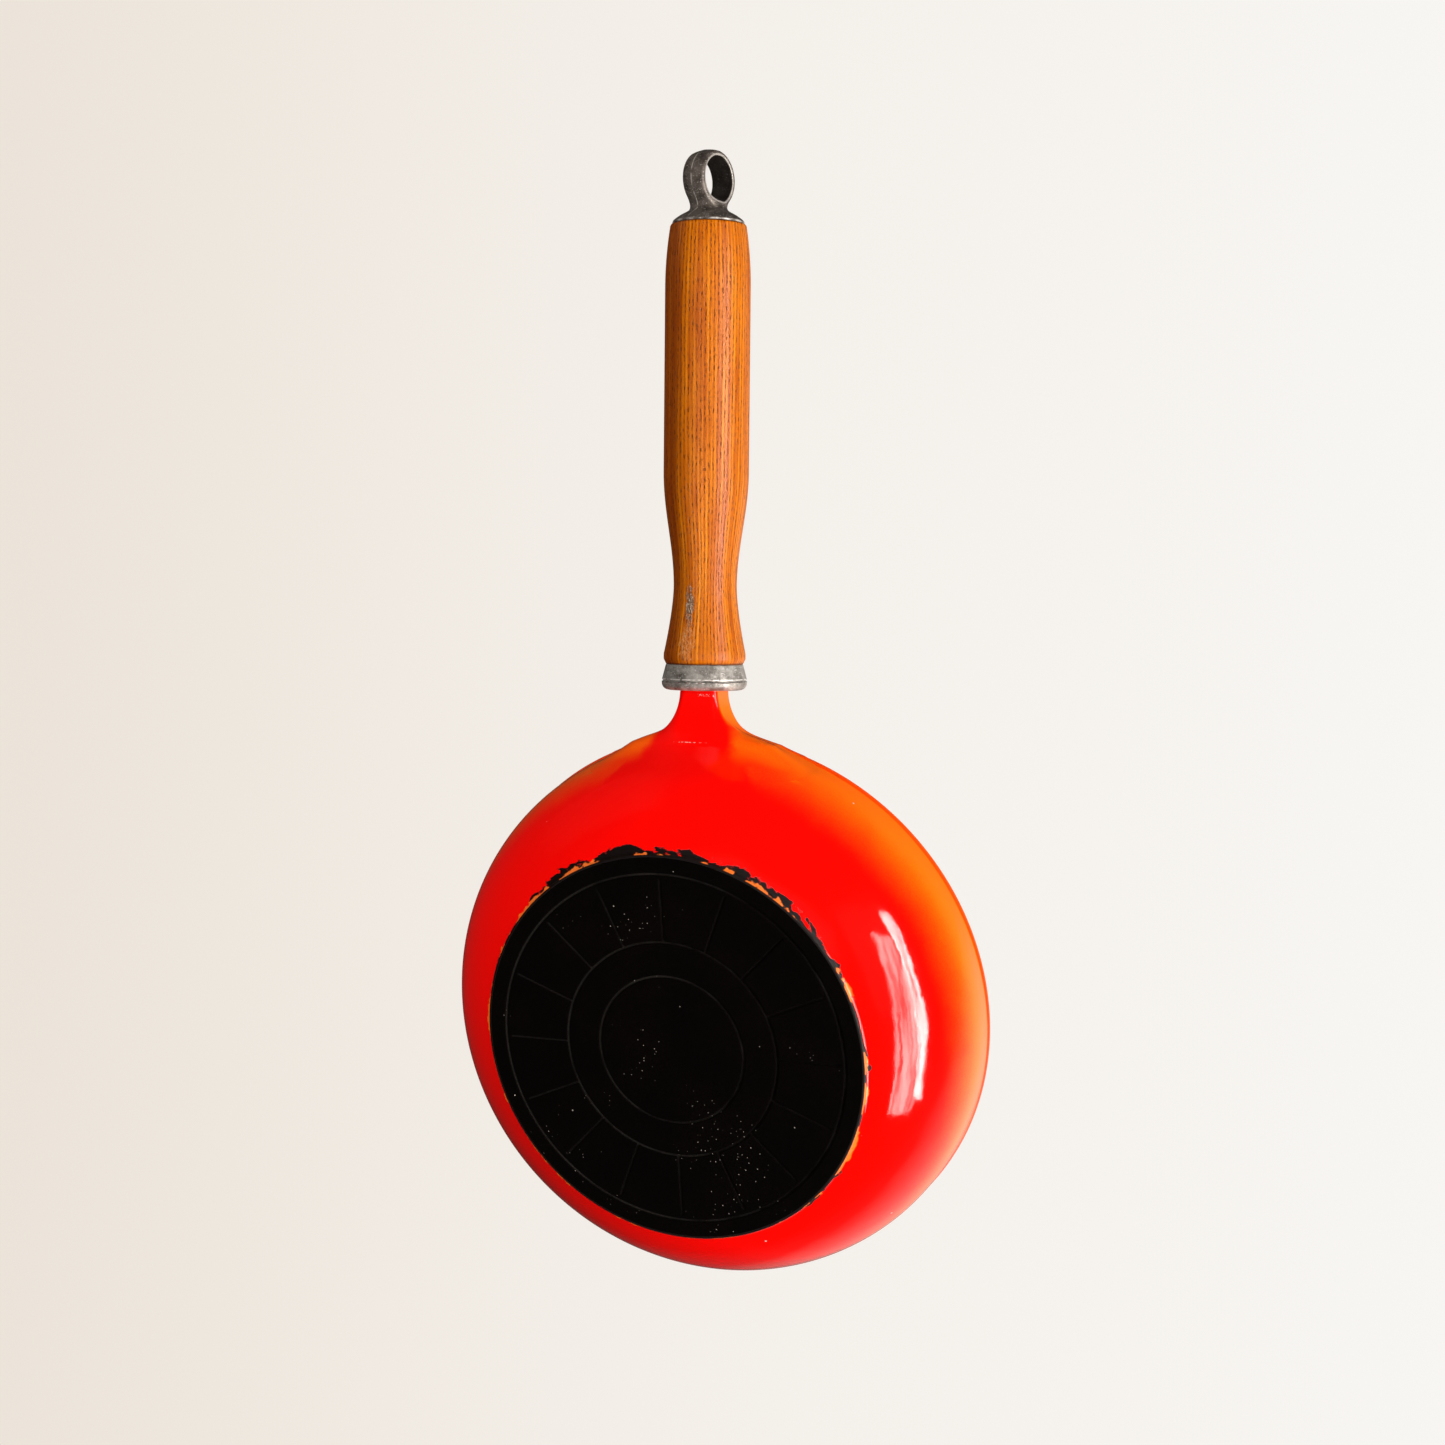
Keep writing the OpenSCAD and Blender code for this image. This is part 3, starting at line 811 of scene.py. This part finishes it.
def bowl_distance(p):
    """Distance to the bowl's solid outer shape, near its wall."""
    radius, z = np.hypot(p[..., 0], p[..., 1]), p[..., 2]
    curved = np.hypot(radius - ARC_X, z - ARC_TOP) - ARC_R
    wall = np.maximum(np.where(z < ARC_TOP, curved, radius - WALL_R), z - BEAD_C[1])
    bead = np.hypot(radius - BEAD_C[0], z - BEAD_C[1]) - BEAD_R
    return blend_min(wall, bead, 0.4)


def handle_parts(p):
    """Distances along the handle's line, across it and up from it."""
    local = p - np.array(RIM_POINT)
    return local @ np.array(ALONG), local[..., 1], -(local @ np.array(DOWN))


def neck_distance(p):
    """Distance to the neck: a bar with flares along the rim, whose edges grow rounder towards the bowl."""
    u, v, w = handle_parts(p)
    back = np.clip(NECK_LEN - u, 0, FLARE_R * 0.985)
    root = np.sqrt(FLARE_R ** 2 - back ** 2)
    half = NECK_W / 2 + FLARE_R - root
    lean = root / FLARE_R
    near = np.clip((13 - u) / 15, 0, 1) * (w < 0)
    out = np.clip((np.abs(v) - 8) / 17, 0, 1) * (w < 0)
    depth = NECK_DEPTH / 2 * (1 - FLARE_THIN * ease(out))
    edge = np.minimum(NECK_ROUND + (NECK_DEPTH / 2 - NECK_ROUND) * ease(near), depth)
    apron = np.hypot(p[..., 0], p[..., 1]) - RIM_R - FLARE_STAND
    side = blend_min((np.abs(v) - half) * lean, apron, 5) + edge
    top = np.abs(w) - depth + edge
    outside = np.hypot(np.maximum(side, 0), np.maximum(top, 0))
    return outside + np.minimum(np.maximum(side, top), 0) - edge


def pan_distance(p):
    """Bowl and neck as one casting, with a deep fillet under the neck that fades out at each side."""
    u, v, w = handle_parts(p)
    below = np.clip((7 - w) / 16, 0, 1)
    fillet = FILLET_ABOVE + FILLET_MORE * ease(below)
    bowl = bowl_distance(p)
    turned = np.degrees(np.abs(np.arctan2(p[..., 1], p[..., 0])))
    share = ease(np.clip((ROOT_TURN - 0.4 - turned) / FLARE_FADE, 0, 1))
    return bowl + (blend_min(bowl, neck_distance(p), fillet) - bowl) * share


def make_neck():
    """The neck's skin, drawn from its end in the collar to an oval root ring on the bowl."""
    count, rows = 128, 44
    corner = rounded([(side * NECK_W / 2, top * NECK_DEPTH / 2, NECK_ROUND)
                      for side, top in ((-1, -1), (1, -1), (1, 1), (-1, 1))], 6)
    outline = np.array(corner + corner[:1])
    run = np.concatenate([[0], np.cumsum(np.linalg.norm(np.diff(outline, axis=0), axis=1))])
    marks = np.linspace(0, run[-1], count, endpoint=False)
    section = np.stack([np.interp(marks, run, outline[:, 0]), np.interp(marks, run, outline[:, 1])], 1)
    turn = np.arctan2(section[:, 1], section[:, 0])

    down, across, along, start = (np.array(v) for v in (DOWN, ACROSS, ALONG, RIM_POINT))

    def at(u, shape):
        return start + along * u + np.outer(shape[:, 0], across) - np.outer(shape[:, 1], down)

    # The root ring lies on the bowl: an oval in the wall's own angle and arc length
    bead = arc(BEAD_C, BEAD_R, math.degrees(BEAD_FROM), 0, 12)
    band = [(WALL_R, BEAD_C[1] - 1.7), (WALL_R, ARC_TOP)]
    profile = np.array(bead + band + arc((ARC_X, ARC_TOP), ARC_R, -1, -50, 40))
    length = np.concatenate([[0], np.cumsum(np.linalg.norm(np.diff(profile, axis=0), axis=1))])

    def on_wall(share_across, share_down, depth=0.0):
        s = np.clip(share_down, 0, 1) * ROOT_LEN + ROOT_EDGE
        r, z = np.interp(s, length, profile[:, 0]), np.interp(s, length, profile[:, 1])
        theta = share_across * math.radians(ROOT_TURN)
        r = r - depth
        return np.stack([r * np.cos(theta), r * np.sin(theta), z], 1)

    wide = np.sign(np.cos(turn)) * np.abs(np.cos(turn)) ** ROOT_OVAL
    over = ROOT_SHARE * (1 - np.abs(np.sin(turn)) ** ROOT_OVAL)
    deep = np.where(turn > 0, over, ROOT_SHARE + (1 - ROOT_SHARE) * np.abs(np.sin(turn)) ** 0.9)
    root = on_wall(wide, deep)
    middle = start + along * 2.0
    inward = middle - root
    normal = slope(bowl_distance, root)
    inward -= (inward * normal).sum(1, keepdims=True) * normal
    inward /= np.linalg.norm(inward, axis=1, keepdims=True)

    collar_end = at(NECK_LEN, section)
    shares = np.linspace(0, 1, rows)
    grid = []
    for t in shares:
        b0, b1, b2, b3 = (1 - t) ** 3, 3 * t * (1 - t) ** 2, 3 * t * t * (1 - t), t ** 3
        grid.append(b0 * collar_end + b1 * (collar_end - along * 15)
                    + b2 * (root + inward * 14) + b3 * root)
    grid = np.array(grid)
    inner = settle(pan_distance, grid[1:-1], 14)
    for _ in range(12):
        whole = np.concatenate([grid[:1], inner, grid[-1:]])
        mean = (whole[:-2] + whole[2:] + np.roll(inner, 1, axis=1) + np.roll(inner, -1, axis=1)) / 4
        inner = settle(pan_distance, (inner + mean) / 2, 3)
    shown = np.concatenate([grid[:1], inner, root[None]])
    normals = slope(pan_distance, shown)
    normals /= np.linalg.norm(normals, axis=2, keepdims=True)
    shown[1:-1] += normals[1:-1] * SKIN_LIFT

    # The ring closes inside the wall, and inside the collar the neck steps down to its tenon
    closing = [on_wall(wide * k, ROOT_SHARE + (deep - ROOT_SHARE) * k, NECK_BURIED)
               for k in (0.98, 0.8, 0.6, 0.4, 0.2, 0.06)]
    square = section / np.maximum(np.abs(section[:, :1]), np.abs(section[:, 1:])) * TENON_SIDE / 2
    hole = np.stack([np.cos(turn), np.sin(turn)], 1) * ROD_HOLE_R
    end = NECK_LEN + TENON_LEN
    tenon = [at(end - ROD_HOLE_LEN, hole), at(end, hole), at(end, square * 0.97), at(end - 0.3, square),
             at(NECK_LEN, square)]
    points, faces = stack(tenon + list(shown) + closing)
    neck = add_object("pan_neck", points, [face[::-1] for face in faces], [enamel])
    custom = np.array([v.vector[:] for v in neck.data.vertex_normals])
    first = len(tenon) * count
    custom[first:first + len(shown) * count] = normals.reshape(-1, 3)
    neck.data.normals_split_custom_set_from_vertices(custom.tolist())
    return neck


def plain_angles(count):
    return np.linspace(0, 2 * math.pi, count, endpoint=False)


# -------------------- handle
def make_collar():
    """A turned-looking casting with a groove, a square socket for the tenon and a hole for the rod."""
    top_r, low_r, bore_r = COLLAR_D / 2, COLLAR_MAX_D / 2, 4.25
    outside = rounded([(6.5, 0, 0.2), (low_r, 0, 2.7), (low_r, 3.4, 0.12), (low_r - 0.5, 3.46, 0.1),
                       (low_r - 0.5, 3.94, 0.1), (low_r - 0.02, 4.0, 0.25), (top_r, COLLAR_LEN, 0.5),
                       (bore_r, COLLAR_LEN, 0.1)], 5)
    start = next(i for i, (r, z) in enumerate(outside) if r > 9)
    end = max(i for i, (r, z) in enumerate(outside) if r > 6)
    angles = plain_angles(160)
    rings = lathe_rings(outside[start:end + 1], angles)
    ray = np.stack([np.cos(angles), np.sin(angles)], 1)
    square = ray / np.maximum(np.abs(ray[:, :1]), np.abs(ray[:, 1:])) * (TENON_SIDE / 2 + SEAT_GAP)
    level = [np.column_stack([square, np.full(len(angles), z)]) for z in (TENON_LEN + 0.2, 0.3)]
    mouth = np.column_stack([square * 1.04, np.zeros(len(angles))])
    bore = [circle_points(bore_r, z, angles) for z in (COLLAR_LEN, TENON_LEN + 0.2)]
    points, faces = stack(rings + bore + level + [mouth], loop=True)
    return add_object("handle_collar", points, faces, [collar_metal], COLLAR_SEAT)


def grip_diameter(u):
    """The grip's diameter at a distance from its collar end."""
    lip_at, waist_at, barrel_at, tail_at = 4, 30, 75, GRIP_LEN - 24
    if u < waist_at:
        return WAIST_D + (LIP_D - WAIST_D) * (1 - (u - lip_at) / (waist_at - lip_at)) ** 1.5
    if u < barrel_at:
        turn = math.pi * (u - waist_at) / (barrel_at - waist_at)
        return WAIST_D + (BARREL_D - WAIST_D) * (1 - math.cos(turn)) / 2
    if u < tail_at:
        return BARREL_D
    return BARREL_D + (TAIL_D - BARREL_D) * ((u - tail_at) / (GRIP_LEN - tail_at)) ** 2


def make_grip():
    """The turned wood, with a seat for the washer, a hole for the rod and room for the nut."""
    lip, tail = LIP_D / 2, TAIL_D / 2
    side = [(lip - 1.35, 0.0), (lip - 1.08, 0.04), (lip - 0.92, 0.22), (lip - 0.12, 1.82),
            (lip - 0.02, 2.15), (lip, 2.6), (lip, 3.3)]
    places = [*np.linspace(4.2, GRIP_LEN - 2, 120), GRIP_LEN - 1.3, GRIP_LEN - 0.75]
    side += [(grip_diameter(u) / 2, u) for u in places]
    side += arc((tail - 0.6, GRIP_LEN - 0.6), 0.6, 15, 90, 5)
    washer_seat, boss_hole, rod_hole, nut_hole = 11.1, 6.3, 4.5, 8.3
    seat_z, boss_z, nut_z = GRIP_LEN - 1.5, GRIP_LEN - 10.6, 6.0
    recess = [(washer_seat, GRIP_LEN), (washer_seat, seat_z), (boss_hole, seat_z), (boss_hole, boss_z),
              (rod_hole, boss_z), (rod_hole, nut_z), (nut_hole, nut_z), (nut_hole, 0.0)]
    angles = plain_angles(144)
    points, faces = stack(lathe_rings(side + recess, angles), loop=True)
    grip = add_object("wood_handle", points, faces, [wood], GRIP_SEAT)
    grip.data.set_sharp_from_angle(angle=math.radians(50))
    return grip


def make_rod():
    """The tie rod, with a rolled thread at each end."""
    start = COLLAR_AT - ROD_HOLE_LEN + TENON_LEN + 1
    length = EYE_AT + SEAT_GAP - start
    angles = plain_angles(40)
    threads = ((0.6, 27.0), (length - 16.0, length - 0.6))
    heights = [0.0, 0.3]
    for low, high in threads:
        heights += [*np.arange(low, high, THREAD_PITCH / 8), high]
    heights.append(length)
    rings = []
    for z in heights:
        phase = (z / THREAD_PITCH - angles / (2 * math.pi)) % 1
        cut = 0.62 * (1 - np.abs(2 * phase - 1)) ** 1.1
        fade = max((min(1, (z - low) / 1.5, (high - z) / 1.5) for low, high in threads), default=0)
        radius = ROD_R - 0.02 - cut * max(fade, 0) - (0.5 if z in (0.0, length) else 0)
        rings.append(circle_points(radius, z, angles))
    points, faces = stack(rings)
    return add_object("threaded_tie_rod", points, faces, [rod_steel], Seat(start))


def eye_distance(p):
    """The hanging eye: a crowned ring, its waist, a domed flange with a recess, and a threaded boss."""
    x, y, z = p[..., 0], p[..., 1], p[..., 2]
    around = np.hypot(x, y)
    edge_r, waist_r = FLANGE_D / 2, EYE_WAIST_D / 2
    fall = (edge_r ** 2 - waist_r ** 2 + 1 - DOME_H ** 2) / (2 * (DOME_H - 1))
    dome = np.hypot(around, z + fall) - math.hypot(edge_r, 1 + fall)
    flange = blend_max(blend_max(dome, around - edge_r, 0.7), -z, 0.7)
    waist = np.maximum(np.maximum(around - waist_r, z - RING_AT), -z)
    ball = np.sqrt((x / 1.02) ** 2 + (y / 1.18) ** 2 + (z - RING_AT) ** 2) - RING_D / 2 + SEAM_H
    ring = blend_max(ball, np.abs(y) - BAND_W / 2, 1.0)
    body = blend_min(blend_min(flange, waist, 3.2), ring, 3.0)
    bore = np.hypot(x, z - RING_AT)
    seam = SEAM_H * np.exp(-(y / 0.33) ** 2) * (bore > HOLE_D / 2 + 0.8) * (z > 4)
    body = blend_max(body - seam, HOLE_D / 2 - bore, 0.7)
    boss = np.maximum(blend_max(around - 6, -z - 10, 0.5), z - 1)
    recess = np.maximum(np.maximum(around - 10.8, 6 - around), z - 2.2)
    body = blend_max(body, -recess, 0.4)
    thread = np.maximum(around - 4.05, z - 3.5)
    return blend_max(np.minimum(body, boss), -thread, 0.3)


def make_eye():
    reach = FLANGE_D / 2 + 1
    top = RING_AT + RING_D / 2 + 1
    points, faces = surface_net(eye_distance, (-reach, -reach, -11), (reach, reach, top), 0.40)
    points = relax(eye_distance, points, faces, 5)
    return add_object("hanging_eye_casting", points, faces.tolist(), [eye_metal], EYE_SEAT)


def recolour(node, material):
    """Gives a shown CAD node its own material."""
    mesh = frame["nodes"][node].data
    mesh.materials.clear()
    mesh.materials.append(material)


def place(piece, body, slot, *nodes):
    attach(piece, body)
    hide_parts(*nodes)


place(make_bowl(), "pan", "enamelled_iron", "pan_body")
place(make_neck(), "pan", "enamelled_iron", "pan_body")
place(make_collar(), "pan", "collar_alloy", "collar")
place(make_grip(), "pan", "grip_wood", "wood_grip")
place(make_rod(), "pan", "rod_steel", "tie_rod")
place(make_eye(), "eye", "eye_alloy", "hanging_eye")
recolour("collar_nut", rod_steel)
recolour("grip_washer", washer_steel)
recolour("spring_washer", spring_steel)

# -------------------- floor, light and camera
scene = bpy.context.scene
scene.view_settings.view_transform = "Standard"
LAMP_COLOUR = (1, 0.97, 0.93)


def make_floor():
    """A plain pale sheet far below the pan, which glows evenly and doesn't light the pan."""
    size_m, level_m = 14.0, -1.2
    corners = [(x * size_m, y * size_m, level_m) for x, y in ((-1, -1), (1, -1), (1, 1), (-1, 1))]
    mesh = bpy.data.meshes.new("studio_floor")
    mesh.from_pydata(corners, [], [(0, 1, 2, 3)])
    paint = Paint("studio_floor_pale", Emission_Color=(0.86, 0.83, 0.78, 1), Emission_Strength=0.8,
                  Roughness=0.9, Specular_IOR_Level=0.0)
    cloud = paint.noise(paint.mm, 0.002, 2)
    mesh.materials.append(paint.finish(paint.mix(cloud, (0.03, 0.028, 0.025), (0.05, 0.047, 0.044))))
    floor = linked("studio_floor", mesh)
    floor.visible_glossy = False
    floor.visible_diffuse = False


def make_light(name, spot, size, energy, shine=False, height=None):
    """A soft light turned to the pan, in metres and watts. Only one with shine shows in reflections."""
    data = bpy.data.lights.new(name, "AREA")
    data.shape, data.size, data.size_y = "RECTANGLE", size, height or size
    data.energy, data.color = energy, LAMP_COLOUR
    light = linked(name, data)
    light.location = spot
    light.rotation_euler = (Vector((0.05, 0, 0.03)) - Vector(spot)).to_track_quat("-Z", "Y").to_euler()
    light.visible_camera = False
    light.visible_glossy = shine
    if shine:
        view_outside(data)


def view_outside(light):
    """Makes a window's brightness uneven, as sky and trees outside it would."""
    light.use_nodes = True
    nodes, links = light.node_tree.nodes, light.node_tree.links
    spot, stretch, noise, ramp = (nodes.new(kind) for kind in (
        "ShaderNodeNewGeometry", "ShaderNodeVectorMath", "ShaderNodeTexNoise", "ShaderNodeMapRange"))
    stretch.operation = "MULTIPLY"
    stretch.inputs[1].default_value = (1.8, 7.0, 1.0)
    noise.inputs["Scale"].default_value, noise.inputs["Detail"].default_value = 1.0, 4.0
    for socket, value in zip(ramp.inputs[1:5], (0.40, 0.60, 0.10, 2.0)):
        socket.default_value = value
    links.new(spot.outputs["Parametric"], stretch.inputs[0])
    links.new(stretch.outputs["Vector"], noise.inputs["Vector"])
    links.new(noise.outputs["Fac"], ramp.inputs[0])
    links.new(ramp.outputs[0], nodes["Emission"].inputs["Strength"])


def make_world():
    """A pale backdrop for the camera, darker to the left, and a dim room with one light side."""
    world = bpy.data.worlds.new("studio")
    scene.world = world
    world.use_nodes = True
    nodes, links = world.node_tree.nodes, world.node_tree.links
    room = nodes["Background"]
    backdrop = nodes.new("ShaderNodeBackground")
    chooser, path = nodes.new("ShaderNodeMixShader"), nodes.new("ShaderNodeLightPath")
    links.new(path.outputs["Is Camera Ray"], chooser.inputs[0])
    links.new(room.outputs[0], chooser.inputs[1])
    links.new(backdrop.outputs[0], chooser.inputs[2])
    links.new(chooser.outputs[0], nodes["World Output"].inputs[0])
    direction = nodes.new("ShaderNodeTexCoord").outputs["Generated"]
    wall = ((0.0, (0.835, 0.770, 0.695)), (0.42, (0.900, 0.860, 0.810)), (1.0, (0.940, 0.925, 0.900)))
    dim = ((0.0, (0.030, 0.027, 0.024)), (0.45, (0.10, 0.092, 0.085)), (1.0, (1.05, 0.97, 0.88)))
    for target, across, low, high, stops in ((backdrop, (-0.06, 0.93, 0.37), -0.30, 0.34, wall),
                                             (room, (-0.64, 0.35, 0.68), 0.55, 1.0, dim)):
        dot, span, ramp = (nodes.new(kind) for kind in
                           ("ShaderNodeVectorMath", "ShaderNodeMapRange", "ShaderNodeValToRGB"))
        dot.operation = "DOT_PRODUCT"
        dot.inputs[1].default_value = across
        span.inputs[1].default_value, span.inputs[2].default_value = low, high
        links.new(direction, dot.inputs[0])
        links.new(dot.outputs["Value"], span.inputs[0])
        links.new(span.outputs[0], ramp.inputs[0])
        for i, (spot, colour) in enumerate(stops):
            element = ramp.color_ramp.elements[i] if i < 2 else ramp.color_ramp.elements.new(spot)
            element.position, element.color = spot, (*colour, 1)
        links.new(ramp.outputs[0], target.inputs[0])


def make_camera():
    """The photo's view of the pan, from a fit to its rim, foot and handle."""
    forward = Vector((-0.22655, -0.37137, 0.90042)).normalized()
    up = Vector((0.97212, -0.02888, 0.23268))
    right = forward.cross(up).normalized()
    up = right.cross(forward)
    data = bpy.data.cameras.new("camera")
    data.lens, data.sensor_width = 55.48, 36
    camera = linked("camera", data)
    placed = Matrix((right, up, -forward)).transposed().to_4x4()
    placed.translation = Vector((0.3132, 0.3305, -0.7295))
    camera.matrix_world = placed
    scene.camera = camera


make_floor()
make_world()
make_camera()
make_light("fill_right", (0.35, 1.25, -0.65), 1.0, 10.5)
make_light("fill_front", (0.25, 0.1, -1.1), 1.0, 10.5)
make_light("fill_left", (0.95, -0.9, 0.05), 0.9, 9.0)
make_light("fill_above", (0.2, 0.5, 1.4), 1.2, 20)
make_light("window_wide", (-0.20, 1.30, -0.53), 1.62, 16, shine=True, height=0.50)
make_light("window_narrow", (-0.05, 1.34, -0.23), 1.62, 17, shine=True, height=0.20)
